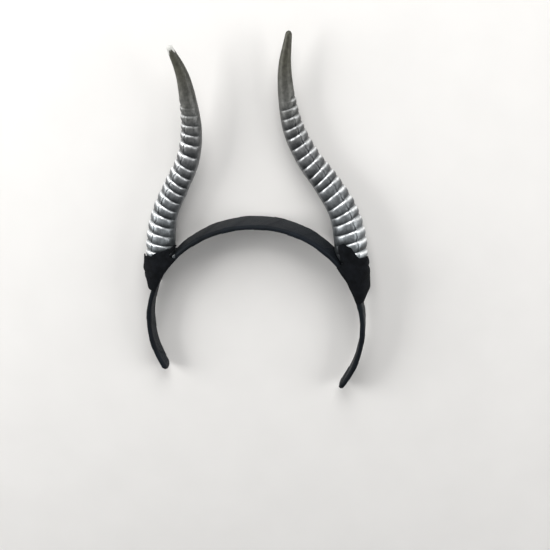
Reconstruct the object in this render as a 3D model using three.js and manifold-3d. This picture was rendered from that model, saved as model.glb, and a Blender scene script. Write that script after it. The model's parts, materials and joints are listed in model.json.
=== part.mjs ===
// Horn headband: a ribbon-wrapped hair band with two ribbed gazelle-style horns.
// Millimetres, +Z up. The pieces are worked out as worn: x across, y to the back of the
// head, z up, origin at the crown of the band. Then the whole is laid on its back.
import * as THREE from 'three';
import { ConvexGeometry } from 'three/addons/geometries/ConvexGeometry.js';
import { ConvexHull } from 'three/addons/math/ConvexHull.js';
import { mergeVertices } from 'three/addons/utils/BufferGeometryUtils.js';
import Module from 'manifold-3d';

const wasm = await Module();
wasm.setup();
const { Manifold, Mesh } = wasm;

const SIDES = { left: -1, right: 1 };
const GAP = 0.3;                     // between neighbouring pieces

// Band
const BAND_HALF_SPAN = { left: 90.8, right: 82.9 };  // each arm at its widest level
const BAND_DROP = 86.6;              // crown to the widest level
const BAND_END_ANGLE = 122;          // degrees round the arc from the crown
const BAND_WIDTH_CROWN = 26;
const BAND_WIDTH_END = 15;
const BAND_THICK = 4.2;              // strip with its ribbon
const BAND_CROWNING = 0.25;          // outer face is a little rounder than flat
const BAND_STATIONS = 50;
// Strip section from the head side round, as shares of half the width and thickness
const BAND_SECTION = [
  { across: -1.00, out: -0.45 }, { across: -0.93, out: -1.00 }, { across: 0.00, out: -1.00 },
  { across: 0.93, out: -1.00 }, { across: 1.00, out: -0.45 }, { across: 1.00, out: 0.35 },
  { across: 0.92, out: 0.88 }, { across: 0.45, out: 1.00 }, { across: -0.45, out: 1.00 },
  { across: -0.92, out: 0.88 }, { across: -1.00, out: 0.35 },
];
// Rounded ends: degrees past the last full section, and share of it that is left
const BAND_TIPS = [{ past: 2.2, shrink: 0.52 }, { past: 1.2, shrink: 0.86 }];

// Horns: seat is degrees round the band's arc, span is foot to tip, girth the radius
// over the lowest ribs, firstRib how far up the axis the lowest groove lies, slope the
// cut of the foot in degrees, corner how far below the foot its outer corner ends
const HORN = {
  left: { seat: 63.3, span: 181, girth: 12.0, firstRib: 7.1, slope: 49, corner: 0.5 },
  right: { seat: 54.3, span: 194, girth: 13.2, firstRib: 9.7, slope: 47, corner: 7 },
};
const WALL = 1.8;                    // moulded shell, between the ribs and grooves
const HOLLOW_SHARE = 0.7;            // of the axis; the tip above is solid
const RIB_PITCH = 7.85;
const RIB_HEIGHT = 1.25;
const RIBBED_SHARE = 0.79;           // of the axis
const FAINT_RIBS = 5;                // the highest ones fade out
const RIB_TILT = 8;                  // degrees, outer side higher
const LEVEL_SHARES = { foot: 0.13, fade: 0.72, tip: 0.92 };  // of the axis: tilt comes, goes
const RIB_REACH = { full: 62, none: 104 };           // degrees from the keel, either way
const KEEL_TURN = 28;                // degrees from the front to the outer side
const KEEL_DEPTH = 0.8;
const ROUND = [0, 6, 17, 31, 46, 62, 78, 95, 115, 138, 160];  // degrees from the keel
const FOOT_SWELL = 0.4;              // of a rib's height, on the plain skin of the foot
const FOOT_RUN_SHARE = 2.2;          // of the girth: the skin runs this far on, to be cut
const TIP_STEP_SHARE = 0.05;         // of the span, between the sections above the ribs
const TIP_BLUNTNESS = 0.6;           // of the tip's radius

// Axis of each horn as shares of its span, and radius as a share of its girth
const HORN_AXIS = {
  left: [
    { inward: 0.000, back: 0.000, rise: 0.000, radius: 0.98 },
    { inward: -0.009, back: 0.012, rise: 0.128, radius: 0.99 },
    { inward: 0.004, back: 0.022, rise: 0.257, radius: 0.87 },
    { inward: 0.049, back: 0.025, rise: 0.380, radius: 0.84 },
    { inward: 0.094, back: 0.024, rise: 0.502, radius: 0.77 },
    { inward: 0.106, back: 0.017, rise: 0.631, radius: 0.70 },
    { inward: 0.091, back: 0.002, rise: 0.759, radius: 0.57 },
    { inward: 0.062, back: -0.020, rise: 0.885, radius: 0.41 },
    { inward: 0.010, back: -0.047, rise: 1.000, radius: 0.20 },
  ],
  right: [
    { inward: 0.000, back: 0.000, rise: 0.000, radius: 0.93 },
    { inward: 0.015, back: 0.021, rise: 0.125, radius: 1.00 },
    { inward: 0.056, back: 0.038, rise: 0.247, radius: 0.89 },
    { inward: 0.131, back: 0.053, rise: 0.352, radius: 0.82 },
    { inward: 0.216, back: 0.062, rise: 0.450, radius: 0.74 },
    { inward: 0.282, back: 0.065, rise: 0.561, radius: 0.65 },
    { inward: 0.319, back: 0.062, rise: 0.686, radius: 0.51 },
    { inward: 0.335, back: 0.052, rise: 0.814, radius: 0.38 },
    { inward: 0.328, back: 0.038, rise: 0.943, radius: 0.20 },
  ],
};
// One rib from its lower groove up, as shares of the pitch and of the rib's height:
// a face that swells outward, then a short ledge
const RIB_PROFILE = [
  { share: 0.00, swell: 0.00 },
  { share: 0.26, swell: 0.74 },
  { share: 0.62, swell: 1.00 },
  { share: 0.86, swell: 0.84 },
];

// Wrap at the foot of each horn: lengths of band covered above and below the seat, how
// high it climbs the horn, how far inward it reaches, and down to what height over the
// foot that inner edge runs
const CLOTH = 1.6;
const CLOTH_TOP = 1.1;               // pulled tight round the horn
const WRAP = {
  left: { above: 17.1, below: 16.2, height: 23.5, reach: 7.9, notch: -13 },
  right: { above: 9.5, below: 22.2, height: 28, reach: 2.8, notch: 3.2 },
};
const WRAP_EDGE_LEAN = 20;           // degrees, lean of that inner edge
// Hand-cut upper edge: turn is degrees from the front to the outer side, climb a share
// of the wrap's height; the back mirrors the front
const WRAP_TOP = {
  left: [
    { turn: -90, climb: 0.89 }, { turn: -67, climb: 1.00 }, { turn: -42, climb: 0.91 },
    { turn: -7, climb: 0.72 }, { turn: 15, climb: 0.60 }, { turn: 30, climb: 0.49 },
    { turn: 90, climb: 0.47 },
  ],
  right: [
    { turn: -90, climb: 0.79 }, { turn: -35, climb: 0.95 }, { turn: -17, climb: 1.00 },
    { turn: 5, climb: 0.79 }, { turn: 15, climb: 0.62 }, { turn: 32, climb: 0.48 },
    { turn: 90, climb: 0.48 },
  ],
};
const BACK_FACING = 0.9;             // least share of a resting face's normal to the back

const rad = THREE.MathUtils.degToRad;
const smooth = THREE.MathUtils.smoothstep;
const V = (x, y, z) => new THREE.Vector3(x, y, z);

function solidOf(geometry) {
  geometry.deleteAttribute('normal');
  geometry.deleteAttribute('uv');
  const merged = mergeVertices(geometry);
  return new Manifold(new Mesh({
    numProp: 3,
    vertProperties: merged.getAttribute('position').array,
    triVerts: new Uint32Array(merged.getIndex().array),
  }));
}

// Closed skin through equal rings, with a flat cap at both ends
function ringSolid(rings) {
  const n = rings[0].length;
  const points = rings.flat();
  const faces = [];
  for (let i = 0; i + 1 < rings.length; i++) {
    for (let j = 0; j < n; j++) {
      const a = i * n + j;
      const b = i * n + (j + 1) % n;
      faces.push([a, b, b + n], [a, b + n, a + n]);
    }
  }
  for (const row of [0, rings.length - 1]) {
    const middle = rings[row].reduce((sum, p) => sum.add(p), V(0, 0, 0)).divideScalar(n);
    const c = points.push(middle) - 1;
    for (let j = 0; j < n; j++) {
      const a = row * n + j;
      const b = row * n + (j + 1) % n;
      faces.push(row === 0 ? [b, a, c] : [a, b, c]);
    }
  }
  const skin = (order) => {
    const geometry = new THREE.BufferGeometry().setFromPoints(points);
    return solidOf(geometry.setIndex(order.flat()));
  };
  const solid = skin(faces);
  return solid.volume() > 0 ? solid : skin(faces.map(([a, b, c]) => [a, c, b]));
}

function hullSolid(...loops) {
  return solidOf(new ConvexGeometry(loops.flat()));
}

// Band centreline at an angle from the crown, with its outward normal
function bandAt(deg) {
  const a = rad(deg);
  const half = BAND_HALF_SPAN[deg < 0 ? 'left' : 'right'];
  const at = V(half * Math.sin(a), 0, -BAND_DROP * (1 - Math.cos(a)));
  const along = V(half * Math.cos(a), 0, -BAND_DROP * Math.sin(a)).normalize();
  return { at, out: V(-along.z, 0, along.x) };
}

// Degrees of the arc that a length of band takes
function bandTurn(length) {
  return THREE.MathUtils.radToDeg(length / BAND_DROP);
}

// Section of the strip, grown by `grow`, and by `inside` on the head side
function bandRing(deg, { grow = 0, inside = grow, shrink = 1 } = {}) {
  const { at, out } = bandAt(deg);
  const t = Math.abs(deg) / BAND_END_ANGLE;
  const width = BAND_WIDTH_CROWN + (BAND_WIDTH_END - BAND_WIDTH_CROWN) * t * t;
  const w = width / 2 * shrink + grow;
  const h = BAND_THICK / 2 * shrink;
  return BAND_SECTION.map((row) => {
    const crowning = row.out === 1 ? BAND_CROWNING * shrink : 0;
    const growth = row.out > 0 ? grow : inside;
    return at.clone()
      .addScaledVector(out, row.out * (h + crowning + growth))
      .add(V(0, -row.across * w, 0));
  });
}

function bandRings(from, to, stations, grow = 0) {
  return Array.from({ length: stations }, (_, i) => (
    bandRing(from + (to - from) * i / (stations - 1), { grow })));
}

function buildBand() {
  const roundedEnd = (end) => BAND_TIPS.map(({ past, shrink }) => (
    bandRing(end * (BAND_END_ANGLE + past), { shrink })));
  return ringSolid([
    ...roundedEnd(-1),
    ...bandRings(-BAND_END_ANGLE, BAND_END_ANGLE, BAND_STATIONS),
    ...roundedEnd(1).reverse(),
  ]);
}

// Horn axis from its foot on the band, with a frame at any length up it
function hornAxis(side) {
  const sign = SIDES[side];
  const { seat, span, girth } = HORN[side];
  const { at, out } = bandAt(sign * seat);
  const foot = at.clone().addScaledVector(out, BAND_THICK / 2 + GAP);
  const spine = new THREE.CatmullRomCurve3(HORN_AXIS[side].map((row) => (
    V(-sign * row.inward, row.back, row.rise).multiplyScalar(span).add(foot))));
  const radii = new THREE.CatmullRomCurve3(HORN_AXIS[side].map((row, i) => (
    V(i, row.radius * girth, 0))));
  spine.arcLengthDivisions = 400;
  const length = spine.getLength();
  const frameAt = (s) => {
    const u = THREE.MathUtils.clamp(s / length, 0, 1);
    const t = spine.getUtoTmapping(u);
    const tangent = spine.getTangent(t);
    const outer = V(sign, 0, 0);
    outer.addScaledVector(tangent, -outer.dot(tangent)).normalize();
    const front = V(0, -1, 0);
    front.addScaledVector(tangent, -front.dot(tangent));
    front.addScaledVector(outer, -front.dot(outer)).normalize();
    const p = spine.getPoint(t).addScaledVector(tangent, s - u * length);
    return { p, tangent, outer, front, radius: radii.getPoint(t).y };
  };
  return { frameAt, length, foot, footRun: FOOT_RUN_SHARE * girth };
}

// Point on the horn at s, `a` radians from the front to the outer side, grown by
// `grow`. The rings tilt, and are level again at the foot and the tip
function hornPoint(axis, s, a, grow) {
  const f = axis.frameAt(s);
  const share = s / axis.length;
  const { foot, fade, tip } = LEVEL_SHARES;
  const tilt = Math.tan(rad(RIB_TILT)) * smooth(share, 0, foot) * (1 - smooth(share, fade, tip));
  return f.p.clone()
    .addScaledVector(f.outer, (f.radius + grow) * Math.sin(a))
    .addScaledVector(f.front, (f.radius + grow) * Math.cos(a))
    .addScaledVector(f.tangent, f.radius * Math.sin(a) * tilt);
}

// Even loop of points round the horn, at a height given for each angle
function hornLoop(axis, height, grow, count) {
  return Array.from({ length: count }, (_, j) => {
    const a = 2 * Math.PI * j / count;
    return hornPoint(axis, height(a), a, grow);
  });
}

// Ribbed ring at s: swell is 0 in a groove and 1 on a rib, keel how deep its line is cut
function ribRing(axis, s, swell, keel) {
  const turns = [...ROUND.slice(1).reverse().map((a) => -a), ...ROUND, 180];
  return turns.map((fromKeel) => {
    const reach = 1 - smooth(Math.abs(fromKeel), RIB_REACH.full, RIB_REACH.none);
    const dip = RIB_HEIGHT * (1 - swell) * reach;
    const line = fromKeel === 0 ? KEEL_DEPTH * keel : 0;
    return hornPoint(axis, s, rad(fromKeel + KEEL_TURN), -dip - line);
  });
}

function hornSkin(side, axis) {
  const { firstRib, span } = HORN[side];
  const count = Math.round((RIBBED_SHARE * axis.length - firstRib) / RIB_PITCH);
  const rings = [-axis.footRun, 0].map((s) => ribRing(axis, s, FOOT_SWELL, 0));
  for (let k = 0; k < count; k++) {
    const strength = 1 - smooth(k, count - FAINT_RIBS, count + 1);
    for (const { share, swell } of RIB_PROFILE) {
      const s = firstRib + (k + share) * RIB_PITCH;
      rings.push(ribRing(axis, s, 1 - (1 - swell) * strength, strength));
    }
  }
  const last = axis.frameAt(axis.length);
  const step = TIP_STEP_SHARE * span;
  const plainFrom = firstRib + count * RIB_PITCH;
  for (let s = plainFrom; s < axis.length - step / 2; s += step) {
    rings.push(ribRing(axis, s, 1, 0));
  }
  for (const angle of [0, 35, 65]) {
    rings.push(ribRing(axis, axis.length, 1, 0).map((p) => p.sub(last.p)
      .multiplyScalar(Math.cos(rad(angle))).add(last.p)
      .addScaledVector(last.tangent, last.radius * TIP_BLUNTNESS * Math.sin(rad(angle)))));
  }
  return ringSolid(rings);
}

function hornHollow(axis) {
  const steps = 15;
  const from = -axis.footRun - GAP;
  const to = HOLLOW_SHARE * axis.length;
  const wall = WALL + RIB_HEIGHT / 2;
  return ringSolid(Array.from({ length: steps + 1 }, (_, i) => (
    hornLoop(axis, () => from + (to - from) * i / steps, -wall, 14))));
}

// Plane that the foot is cut to: it clears the highest part of the band by the gap
function seatPlane(side) {
  const slope = rad(HORN[side].slope);
  const normal = V(SIDES[side] * Math.sin(slope), 0, Math.cos(slope));
  const heights = bandRings(0, SIDES[side] * BAND_END_ANGLE, BAND_END_ANGLE)
    .flat().map((p) => p.dot(normal));
  return { normal, offset: Math.max(...heights) + GAP };
}

function cornerLevel(side, axis) {
  return axis.foot.z - HORN[side].corner;
}

function buildHorn(side) {
  const axis = hornAxis(side);
  const { normal, offset } = seatPlane(side);
  return Manifold.difference(hornSkin(side, axis), hornHollow(axis))
    .trimByPlane(normal.toArray(), offset)
    .trimByPlane([0, 0, 1], cornerLevel(side, axis));
}

function wrapClimb(side, a) {
  const rows = WRAP_TOP[side];
  const turn = THREE.MathUtils.radToDeg(Math.asin(Math.sin(a)));
  const next = rows.findIndex((row) => row.turn >= turn);
  const k = next < 0 ? rows.length - 1 : Math.max(1, next);
  const [low, high] = [rows[k - 1], rows[k]];
  const t = (turn - low.turn) / (high.turn - low.turn);
  return WRAP[side].height * (low.climb + (high.climb - low.climb) * t);
}

// Skin stretched over the foot of the horn and a stretch of band. `inside` is its growth
// on the head side and `extra` makes it longer at every open edge
function wrapForm(side, axis, { grow, growTop, inside, extra }) {
  const sides = 20;
  const { seat } = HORN[side];
  const { above, below, height } = WRAP[side];
  const { normal, offset } = seatPlane(side);
  const { tangent } = axis.frameAt(0);
  const foot = hornLoop(axis, () => 0, grow, sides).map((p) => p.addScaledVector(
    tangent,
    Math.max(
      (offset - grow - p.dot(normal)) / tangent.dot(normal),
      (cornerLevel(side, axis) - grow - p.z) / tangent.z,
    ),
  ));
  const top = hornLoop(axis, () => height + CLOTH + extra, growTop, sides);
  const [upper, middle, lower] = [-above - extra, (below - above) / 2, below + extra]
    .map((along) => bandRing(SIDES[side] * (seat + bandTurn(along)), { grow, inside }));
  return Manifold.union(hullSolid(top, foot, upper, middle), hullSolid(foot, middle, lower));
}

function buildWrap(side) {
  const sign = SIDES[side];
  const axis = hornAxis(side);
  const { seat, girth } = HORN[side];
  const { above, below, height, reach, notch } = WRAP[side];
  const clear = 2 * CLOTH;           // the room runs this far past the cloth's edges
  const far = 2 * girth;             // cutters reach this far beside the horn
  const high = height + far;
  const chord = 0.1;                 // flats of the loop against the round horn
  const skin = wrapForm(side, axis, {
    grow: GAP + CLOTH, growTop: GAP + CLOTH_TOP, inside: 0, extra: 0,
  });
  const form = wrapForm(side, axis, { grow: GAP, growTop: GAP, inside: clear, extra: clear });
  const hornRoom = ringSolid(Array.from({ length: 10 }, (_, i) => (
    hornLoop(axis, () => -axis.footRun + (high + axis.footRun) * i / 9, GAP + chord, 24))));
  const bandRoom = ringSolid(bandRings(
    sign * (seat - bandTurn(above + far)), sign * (seat + bandTurn(below + far)), 12, GAP,
  ));
  const aboveEdge = ringSolid([
    hornLoop(axis, (a) => wrapClimb(side, a), -girth / 2, 40),
    hornLoop(axis, (a) => wrapClimb(side, a), far, 40),
    hornLoop(axis, () => high + far, far, 40),
  ]);
  const lean = rad(WRAP_EDGE_LEAN);
  const inward = V(-sign * Math.cos(lean), 0, -Math.sin(lean));
  const block = new THREE.BoxGeometry(4 * far, 4 * far, 4 * far).translate(...axis.foot);
  const beside = solidOf(block)
    .trimByPlane(inward.toArray(), inward.dot(axis.foot) + reach)
    .trimByPlane([0, 0, 1], axis.foot.z + notch);
  return Manifold.difference(skin, Manifold.union([form, hornRoom, bandRoom, aboveEdge, beside]));
}

function meshOf(name, solid, material) {
  const { vertProperties, triVerts } = solid.getMesh();
  const geometry = new THREE.BufferGeometry();
  geometry.setAttribute('position', new THREE.BufferAttribute(vertProperties, 3));
  geometry.setIndex(new THREE.BufferAttribute(triVerts, 1));
  geometry.computeVertexNormals();
  const mesh = new THREE.Mesh(geometry, material);
  mesh.name = name;
  return mesh;
}

// Direction that faces the floor when the whole lies on its back: of the hull's faces
// there, the one nearest the centre of mass, which is taken at one density
function restingDirection(meshes) {
  const points = [];
  const centre = V(0, 0, 0);
  let volume = 0;
  for (const { geometry } of meshes) {
    const position = geometry.getAttribute('position');
    const corners = Array.from(geometry.getIndex().array, (i) => (
      V(0, 0, 0).fromBufferAttribute(position, i)));
    for (let i = 0; i < corners.length; i += 3) {
      const [a, b, c] = corners.slice(i, i + 3);
      const part = a.dot(b.clone().cross(c)) / 6;
      volume += part;
      centre.addScaledVector(a.clone().add(b).add(c), part / 4);
    }
    points.push(...corners);
  }
  centre.divideScalar(volume);
  return new ConvexHull().setFromPoints(points).faces
    .filter((face) => face.normal.y > BACK_FACING)
    .sort((a, b) => b.distanceToPoint(centre) - a.distanceToPoint(centre))[0].normal;
}

const ribbon = new THREE.MeshStandardMaterial({ name: 'ribbon', color: 0x34373c, roughness: 0.7 });
const pewter = new THREE.MeshStandardMaterial({
  name: 'pewter_paint', color: 0x6e6f70, roughness: 0.35, metalness: 0.8,
});
const felt = new THREE.MeshStandardMaterial({ name: 'felt', color: 0x141518, roughness: 0.95 });

const worn = new THREE.Group();
worn.name = 'as_worn';
worn.add(meshOf('headband', buildBand(), ribbon));
for (const side of Object.keys(SIDES)) {
  worn.add(meshOf(`horn_${side}`, buildHorn(side), pewter));
  worn.add(meshOf(`wrap_${side}`, buildWrap(side), felt));
}

// Laid on its back, the front of the horns up, with the origin under the middle
const up = restingDirection(worn.children).clone().negate();
const across = V(1, 0, 0).addScaledVector(up, -up.x).normalize();
const asLying = new THREE.Matrix4().makeBasis(across, up.clone().cross(across), up).transpose();
worn.quaternion.setFromRotationMatrix(asLying);
const part = new THREE.Group();
part.name = 'horn_headband';
part.add(worn);
part.updateMatrixWorld(true);
const box = new THREE.Box3().setFromObject(part, true);
worn.position.set(-(box.min.x + box.max.x) / 2, -(box.min.y + box.max.y) / 2, -box.min.z);

export default part;
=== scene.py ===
import json
import math

import bmesh
import bpy
import numpy as np
from mathutils import Matrix, Vector


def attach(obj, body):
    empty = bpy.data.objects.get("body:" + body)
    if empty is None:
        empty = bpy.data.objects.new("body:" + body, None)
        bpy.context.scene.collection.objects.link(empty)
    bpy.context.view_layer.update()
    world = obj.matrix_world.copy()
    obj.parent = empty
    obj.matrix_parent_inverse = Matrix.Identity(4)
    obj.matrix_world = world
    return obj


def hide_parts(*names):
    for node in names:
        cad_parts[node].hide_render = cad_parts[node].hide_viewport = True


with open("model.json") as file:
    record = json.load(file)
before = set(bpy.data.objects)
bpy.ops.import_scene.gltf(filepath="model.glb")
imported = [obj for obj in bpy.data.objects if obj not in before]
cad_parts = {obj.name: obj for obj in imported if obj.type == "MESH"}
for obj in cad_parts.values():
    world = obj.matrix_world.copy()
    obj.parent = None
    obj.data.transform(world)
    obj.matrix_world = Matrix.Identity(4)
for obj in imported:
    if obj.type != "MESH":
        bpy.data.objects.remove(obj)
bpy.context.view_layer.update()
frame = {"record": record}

# How it lies: on its back, the front of the horns up, held by its own weight. Every size
# below is in millimetres as it is worn: across to the viewer's right, then to the back
# of the head, then up, from the middle of the strip at the crown.
MM = 0.001
CROWN_FACET = (-0.17, 0, -2.18)      # middle of the crown's inner face, as worn
crown_face = frame["record"]["mounts"][0]
UP = -Vector(crown_face["axis"]).normalized()
ACROSS = Vector((0, 1, 0)).cross(UP).normalized()
BACK = UP.cross(ACROSS)
WORN_AXES = np.array([ACROSS, BACK, UP])
WORN_ORIGIN = np.array(crown_face["pos_m"]) - np.array(CROWN_FACET) * MM @ WORN_AXES


def lying(points):
    return np.asarray(points, float) * MM @ WORN_AXES + WORN_ORIGIN


# Hair band strip: a stiff plastic strip bent to a horseshoe and covered with black
# ribbon, which is folded over its two rounded ends. It is moulded flat and bent hot.
BAND_HALF_SPAN = {"left": 90.8, "right": 82.9}
BAND_DROP = 86.6
BAND_END_ANGLE = 122
BAND_WIDTH_CROWN = 26
BAND_WIDTH_END = 15
BAND_THICK = 4.2                     # with two layers of ribbon
BAND_CROWNING = 0.25
RIBBON_THICK = 0.28
STRIP_HALF_THICK = BAND_THICK / 2 - 2 * RIBBON_THICK
CORNER_ROUND = 0.85                  # of the half thickness
CORNER_STEPS = 8                     # round each edge of the strip
FACE_STEPS = 10                      # across each face
ARC_BEYOND = 4                       # degrees that the curve goes on past each end
ARC_POINTS = 2001


def band_place(angle):
    """Centreline of the band and its outward normal, at degrees from the crown."""
    a = np.radians(angle)
    half = np.where(a < 0, BAND_HALF_SPAN["left"], BAND_HALF_SPAN["right"])
    zero = np.zeros_like(a)
    at = np.stack([half * np.sin(a), zero, -BAND_DROP * (1 - np.cos(a))], -1)
    along = np.stack([half * np.cos(a), zero, -BAND_DROP * np.sin(a)], -1)
    along /= np.linalg.norm(along, axis=-1, keepdims=True)
    return at, np.stack([-along[..., 2], zero, along[..., 0]], -1)


ARC_ANGLES = np.linspace(-BAND_END_ANGLE - ARC_BEYOND, BAND_END_ANGLE + ARC_BEYOND, ARC_POINTS)
ARC_STEPS = np.linalg.norm(np.diff(band_place(ARC_ANGLES)[0], axis=0), axis=1)
ARC_LENGTHS = np.concatenate([[0], np.cumsum(ARC_STEPS)])
ARC_LENGTHS -= np.interp(0, ARC_ANGLES, ARC_LENGTHS)
BAND_ENDS = np.interp([-BAND_END_ANGLE, BAND_END_ANGLE], ARC_ANGLES, ARC_LENGTHS)


def band_width(u):
    share = np.abs(np.interp(u, ARC_LENGTHS, ARC_ANGLES)) / BAND_END_ANGLE
    return BAND_WIDTH_CROWN + (BAND_WIDTH_END - BAND_WIDTH_CROWN) * share ** 2


def bent(straight):
    """Bends points of the straight strip, (along, to the back, out), to the horseshoe."""
    at, out = band_place(np.interp(straight[..., 0], ARC_LENGTHS, ARC_ANGLES))
    place = at + out * straight[..., 2:3]
    place[..., 1] = straight[..., 1]
    return place


def strip_outline():
    """Rounded section of the strip: side, face, and the direction that it looks in."""
    corners = ((-1, 1, 180), (1, 1, 90), (1, -1, 0), (-1, -1, -90))
    rows = []
    for k, (side, face, start) in enumerate(corners):
        for step in range(CORNER_STEPS + 1):
            turn = math.radians(start - 90 * step / CORNER_STEPS)
            rows.append((side, face, math.cos(turn), math.sin(turn)))
        next_side, next_face, _ = corners[(k + 1) % 4]
        look = rows[-1][2:]
        for t in np.linspace(0, 1, FACE_STEPS + 1)[1:-1]:
            rows.append((side + (next_side - side) * t, face + (next_face - face) * t, *look))
    return np.array(rows)


OUTLINE = strip_outline()


def on_strip(u, row, lift, half_thick=STRIP_HALF_THICK, trim=2 * RIBBON_THICK, shrink=1.0):
    """Point of the straight strip's surface, lifted off it; row is a row of OUTLINE."""
    half = (band_width(u) / 2 - trim) * shrink
    radius = half_thick * CORNER_ROUND * shrink
    y = (half - radius) * row[..., 0] + (radius + lift) * row[..., 2]
    out = (half_thick * shrink - radius) * row[..., 1] + (radius + lift) * row[..., 3]
    crowning = BAND_CROWNING * (1 - np.clip(y / half, -1, 1) ** 2) * (out > 0)
    return np.stack([u, y, out + crowning], -1)


def grid_faces(rows, cols, closed):
    i, j = np.meshgrid(np.arange(rows - 1), np.arange(cols if closed else cols - 1),
                       indexing="ij")
    a = i * cols + j
    b = i * cols + (j + 1) % cols
    return np.stack([a, b, b + cols, a + cols], -1).reshape(-1, 4).tolist()


def new_shape(points, faces, floats=None, layout=None):
    """A bmesh with a value of each kind and a place in the flat layout at each point."""
    mesh = bpy.data.meshes.new("rough")
    mesh.from_pydata(np.reshape(points, (-1, 3)).tolist(), [], faces)
    for key, values in (floats or {}).items():
        mesh.attributes.new(key, "FLOAT", "POINT").data.foreach_set("value", np.ravel(values))
    if layout is not None:
        corners = np.zeros(len(mesh.loops), np.int32)
        mesh.loops.foreach_get("vertex_index", corners)
        flat = mesh.uv_layers.new(name="layout")
        flat.data.foreach_set("uv", np.ravel(np.reshape(layout, (-1, 2))[corners]))
    shape = bmesh.new()
    shape.from_mesh(mesh)
    bpy.data.meshes.remove(mesh)
    return shape


def add_piece(name, shape, material):
    """Turns a bmesh of worn millimetres into a piece that lies in its place."""
    for vert, place in zip(shape.verts, lying([v.co for v in shape.verts])):
        vert.co = place
        vert.co.z = max(vert.co.z, 0.0)
    bmesh.ops.recalc_face_normals(shape, faces=shape.faces[:])
    mesh = bpy.data.meshes.new(name)
    shape.to_mesh(mesh)
    shape.free()
    mesh.polygons.foreach_set("use_smooth", [True] * len(mesh.polygons))
    mesh.materials.append(material)
    piece = bpy.data.objects.new(name, mesh)
    bpy.context.scene.collection.objects.link(piece)
    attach(piece, "root")
    return piece


def colour(code):
    """An sRGB hex colour as the linear colour that a shader takes."""
    parts = [int(code[k:k + 2], 16) / 255 for k in (1, 3, 5)]
    return tuple(c / 12.92 if c <= 0.04045 else ((c + 0.055) / 1.055) ** 2.4
                 for c in parts) + (1,)


def node(tree, kind, settings=None, links=None):
    """Adds a node with its settings and links; a key is an input's name or number."""
    made = tree.nodes.new("ShaderNode" + kind)
    for key, value in (settings or {}).items():
        if isinstance(key, int) or key in made.inputs:
            made.inputs[key].default_value = value
        else:
            setattr(made, key, value)
    for key, socket in (links or {}).items():
        tree.links.new(socket, made.inputs[key])
    return made


def new_material(name, settings):
    made = bpy.data.materials.new(name)
    made.use_nodes = True
    shader = made.node_tree.nodes["Principled BSDF"]
    for key, value in settings.items():
        shader.inputs[key].default_value = value
    return made, made.node_tree, shader


def woven_ribbon():
    # Polyester satin ribbon, woven and dyed black: soft sheen, fine cross ribs, each lap of
    # it a little lighter or darker, and painted shade where a lap comes down onto the strip.
    # The ribs are drawn at twice their real pitch.
    rib = 0.8 * MM
    made, tree, shader = new_material("woven_satin_ribbon", {
        "Sheen Weight": 0.01, "Sheen Roughness": 0.4, "Specular IOR Level": 0.1,
    })
    lap = node(tree, "Attribute", {"attribute_name": "lap_tone_and_shade"})
    place = node(tree, "TexCoord")
    cloud = node(tree, "TexNoise", {"Scale": 1 / (9 * MM), "Detail": 3.0},
                 {"Vector": place.outputs["Object"]})
    tone = node(tree, "Math", {"operation": "MULTIPLY_ADD", 1: 0.5},
                {0: cloud.outputs["Fac"], 2: lap.outputs["Fac"]})
    ramp = node(tree, "ValToRGB", None, {"Fac": tone.outputs[0]})
    ramp.color_ramp.elements[0].color = colour("#0e1114")
    ramp.color_ramp.elements[1].color = colour("#1a1f25")
    tree.links.new(ramp.outputs["Color"], shader.inputs["Base Color"])
    cloth = node(tree, "UVMap", {"uv_map": "layout"})
    ribs = node(tree, "TexWave", {"Scale": 2 * math.pi / 20 / rib, "bands_direction": "X",
                                  "Distortion": 0.6, "Detail": 1.0},
                {"Vector": cloth.outputs["UV"]})
    bump = node(tree, "Bump", {"Strength": 0.35, "Distance": 0.12 * MM},
                {"Height": ribs.outputs["Fac"]})
    tree.links.new(bump.outputs["Normal"], shader.inputs["Normal"])
    dull = node(tree, "MapRange", {3: 0.46, 4: 0.62}, {0: cloud.outputs["Fac"]})
    tree.links.new(dull.outputs[0], shader.inputs["Roughness"])
    return made


RIBBON = woven_ribbon()
STRIP_STEPS = 420
STRIP_TONE = 0.25                    # of the ribbon folded over the ends, as a lap's tone
# Rounded ends: share of the section that is left, and how far past the end it lies
END_ROUND = ((0.15, 3.4), (0.42, 3.2), (0.66, 2.6), (0.84, 1.7), (0.95, 0.8))


def build_strip():
    rounds = [(BAND_ENDS[0] - past, shrink) for shrink, past in END_ROUND]
    rounds += [(u, 1.0) for u in np.linspace(BAND_ENDS[0], BAND_ENDS[1], STRIP_STEPS)]
    rounds += [(BAND_ENDS[1] + past, shrink) for shrink, past in reversed(END_ROUND)]
    u, shrink = np.array(rounds).T[:, :, None]
    n = len(OUTLINE)
    straight = on_strip(u + np.zeros((1, n)), OUTLINE[None], RIBBON_THICK / 2, shrink=shrink)
    last = (len(rounds) - 1) * n
    faces = grid_faces(len(rounds), n, True) + [list(range(n)), list(range(last, last + n))]
    tones = np.full(len(rounds) * n, STRIP_TONE)
    return new_shape(bent(straight), faces, {"lap_tone_and_shade": tones}, straight[..., 1::-1] * MM)


strip = add_piece("headband_strip", build_strip(), RIBBON)
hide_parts("headband")


# Ribbon: one length of black satin ribbon wound round the strip from end to end, each
# turn lapping over the last, so that its leading edge shows as a slanting line.
WIND_PITCH = 27.0                    # along the band, a turn
WIND_LAP = 7.0                       # of each turn lies over the one before
WIND_PHASE = -1.0                    # where an edge meets the band's front at the crown
LAP_SLOPE = 4.5                      # along which the lap settles onto the strip
BODY_SHARE = 0.8                     # of its thickness, so that the two layers stay apart
PUCKER = 0.03
PUCKER_WAVE = 1.1                    # radians a millimetre along the band
PUCKERS = 5                          # waves in each turn
SLACK_SEED = 7
LAP_TONE = 0.5                       # how far the laps differ in tone
LAP_SHADE = 0.22                     # painted shade where the lap comes down onto the strip
LAP_SHADE_AT = 1.2
LAP_SHADE_WIDTH = 1.3
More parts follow.
